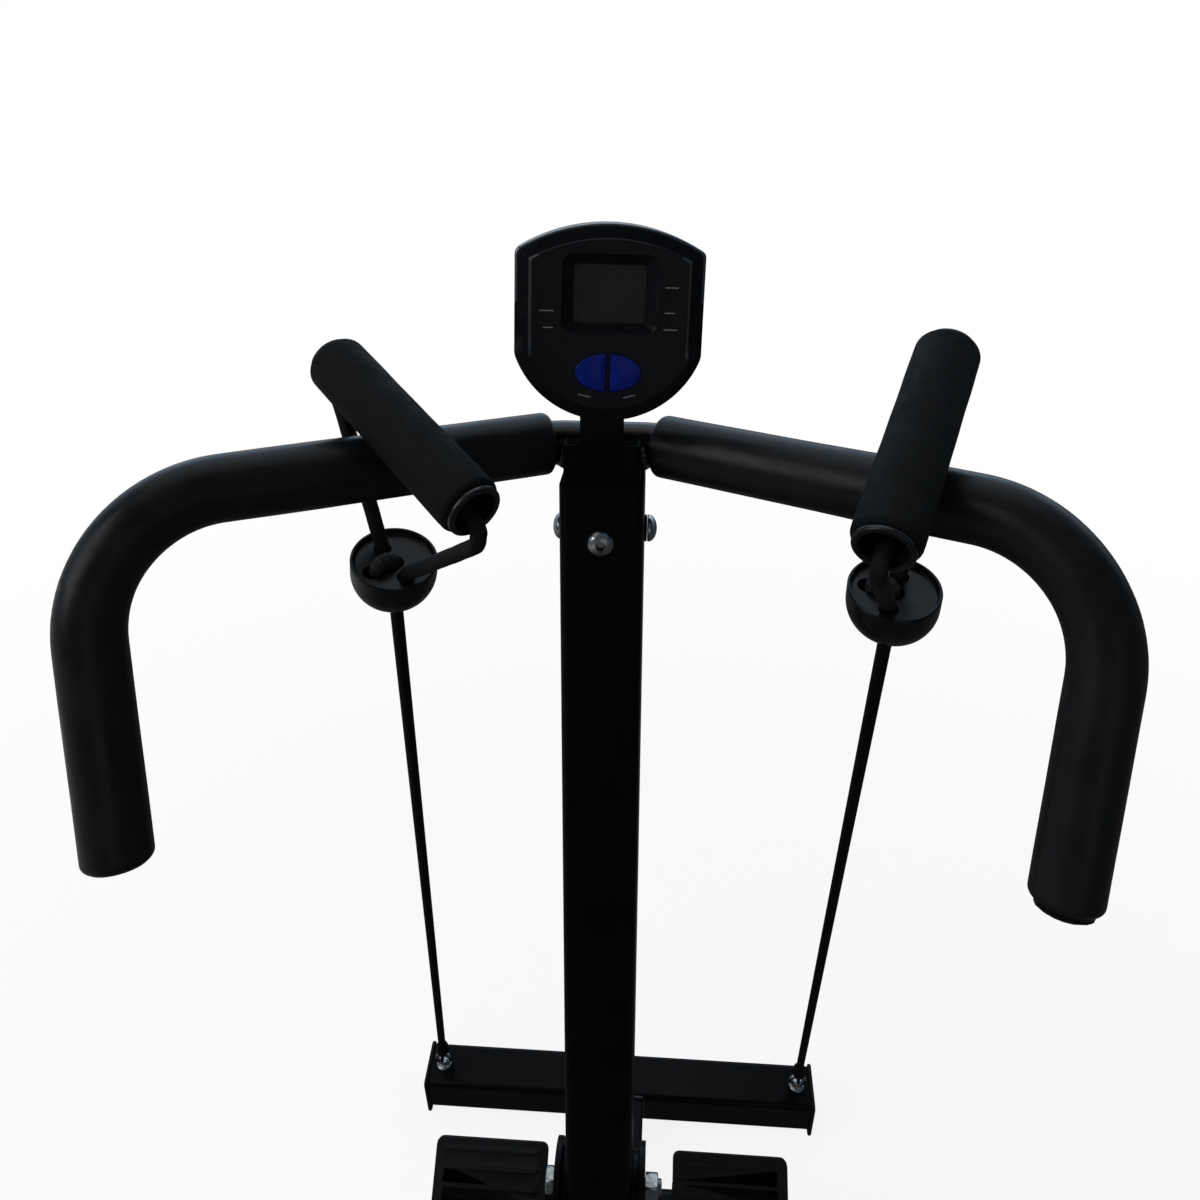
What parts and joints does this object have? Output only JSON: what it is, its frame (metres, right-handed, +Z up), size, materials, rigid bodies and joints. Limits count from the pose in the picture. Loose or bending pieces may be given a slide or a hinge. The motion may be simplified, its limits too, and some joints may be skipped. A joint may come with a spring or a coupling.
{
  "type": "horse riding exercise machine",
  "caption": "Riding-motion exercise machine: leaning mast with foam-covered handlebar, console and pull handles on elastic cords, linked to a rising saddle and foot pedals.",
  "frame": {"origin": "on the floor, under the middle of the machine's outline", "axes": "+Z up, +Y forward, away from the rider, along the floor rail, +X to the rider's right"},
  "size_m": [0.518, 1.004, 1.1388],
  "materials": {
    "paint": "semi-gloss black powder coat",
    "bar_foam": "matte closed-cell foam",
    "black_plastic": "fine matte",
    "gloss_black": "moulded, semi-gloss",
    "zinc": "zinc plated",
    "blue_plastic": "satin keys",
    "display": "grey-green liquid crystal",
    "window": "clear window",
    "board": "circuit board",
    "cord": "woven cover over elastic core",
    "vinyl": "black vinyl cover",
    "rubber": "black rubber"
  },
  "bodies": {
    "floor_frame": {"base_rail": "paint", "front_stabilizer": "paint", "rear_stabilizer": "paint", "front_left_cap": "rubber", "front_right_cap": "rubber", "rear_left_cap": "rubber", "rear_right_cap": "rubber", "left_pivot_bracket": "paint", "right_pivot_bracket": "paint", "mast_pivot_bolt": "zinc", "mast_pivot_nut": "zinc", "seat_pivot_bolt": "zinc", "seat_pivot_nut": "zinc", "stop_bar": "rubber", "left_cord_eye": "zinc", "right_cord_eye": "zinc", "left_cord_hook": "black_plastic", "right_cord_hook": "black_plastic", "left_cord": "cord", "right_cord": "cord"},
    "mast": {"mast_post": "paint", "left_lever_plate": "paint", "right_lever_plate": "paint", "drive_pin": "zinc", "peg_bar": "paint", "handlebar": "paint", "left_bar_foam": "bar_foam", "right_bar_foam": "bar_foam", "left_bar_plug": "black_plastic", "right_bar_plug": "black_plastic", "front_bolt": "zinc", "side_bolt": "zinc", "side_nut": "zinc", "side_washer": "black_plastic", "console_neck": "black_plastic", "console_back": "black_plastic", "console_front": "gloss_black", "battery_cover": "black_plastic", "display_lens": "window", "display_panel": "display", "circuit_board": "board"},
    "saddle_lever": {"seat_lever": "paint", "seat_lever_cap": "rubber", "saddle_board": "black_plastic", "saddle_pad": "vinyl"},
    "left_foot_pedal": {"left_pedal": "black_plastic"},
    "right_foot_pedal": {"right_pedal": "black_plastic"},
    "left_key": {"left_button": "blue_plastic"},
    "right_key": {"right_button": "blue_plastic"},
    "left_handle": {"left_handle_strap": "cord", "left_cup": "black_plastic", "left_rope_loop": "cord"},
    "right_handle": {"right_handle_strap": "cord", "right_cup": "black_plastic", "right_rope_loop": "cord"},
    "left_grip": {"left_grip_tube": "black_plastic", "left_grip_foam": "bar_foam"},
    "right_grip": {"right_grip_tube": "black_plastic", "right_grip_foam": "bar_foam"}
  },
  "joints": [
    {"name": "mast_tilt", "type": "hinge", "parent": "floor_frame", "child": "mast", "pos_m": [0, 0.21047, 0.4], "axis": [1, 0, 0], "range_deg": [0, 24], "deforming": ["left_cord", "right_cord"]},
    {"name": "saddle_lift", "type": "hinge", "parent": "floor_frame", "child": "saddle_lever", "pos_m": [0, 0.21047, 0.13], "axis": [1, 0, 0], "range_deg": [-13.8, 0]},
    {"name": "left_pedal_turn", "type": "hinge", "parent": "mast", "child": "left_foot_pedal", "pos_m": [0, 0.30054, 0.16003], "axis": [1, 0, 0], "range_deg": [-30, 30]},
    {"name": "right_pedal_turn", "type": "hinge", "parent": "mast", "child": "right_foot_pedal", "pos_m": [0, 0.30054, 0.16003], "axis": [1, 0, 0], "range_deg": [-30, 30]},
    {"name": "left_key_press", "type": "slide", "parent": "mast", "child": "left_key", "axis": [-0.1074, 0.9616, -0.2525], "range_m": [0, 0.0012], "stiffness_N_per_m": 500, "springref_m": -0.001},
    {"name": "right_key_press", "type": "slide", "parent": "mast", "child": "right_key", "axis": [-0.1074, 0.9616, -0.2525], "range_m": [0, 0.0012], "stiffness_N_per_m": 500, "springref_m": -0.001},
    {"name": "left_handle_lift", "type": "slide", "parent": "mast", "child": "left_handle", "axis": [0.0948, -0.202, 0.9748], "range_m": [0, 0.015], "stiffness_N_per_m": 300, "springref_m": -0.03},
    {"name": "right_handle_lift", "type": "slide", "parent": "mast", "child": "right_handle", "axis": [-0.0481, -0.2268, 0.9727], "range_m": [0, 0.015], "stiffness_N_per_m": 300, "springref_m": -0.03},
    {"name": "left_grip_spin", "type": "hinge", "parent": "left_handle", "child": "left_grip", "pos_m": [-0.1036, 0.27212, 1.04452], "axis": [-0.677, 0.6933, 0.2469], "continuous": true},
    {"name": "right_grip_spin", "type": "hinge", "parent": "right_handle", "child": "right_grip", "pos_m": [0.16075, 0.25328, 1.05645], "axis": [0.3559, 0.8789, 0.3176], "continuous": true}
  ],
  "couplings": [
    {"joint": "saddle_lift", "follows": "mast_tilt", "ratio": -0.574}
  ]
}
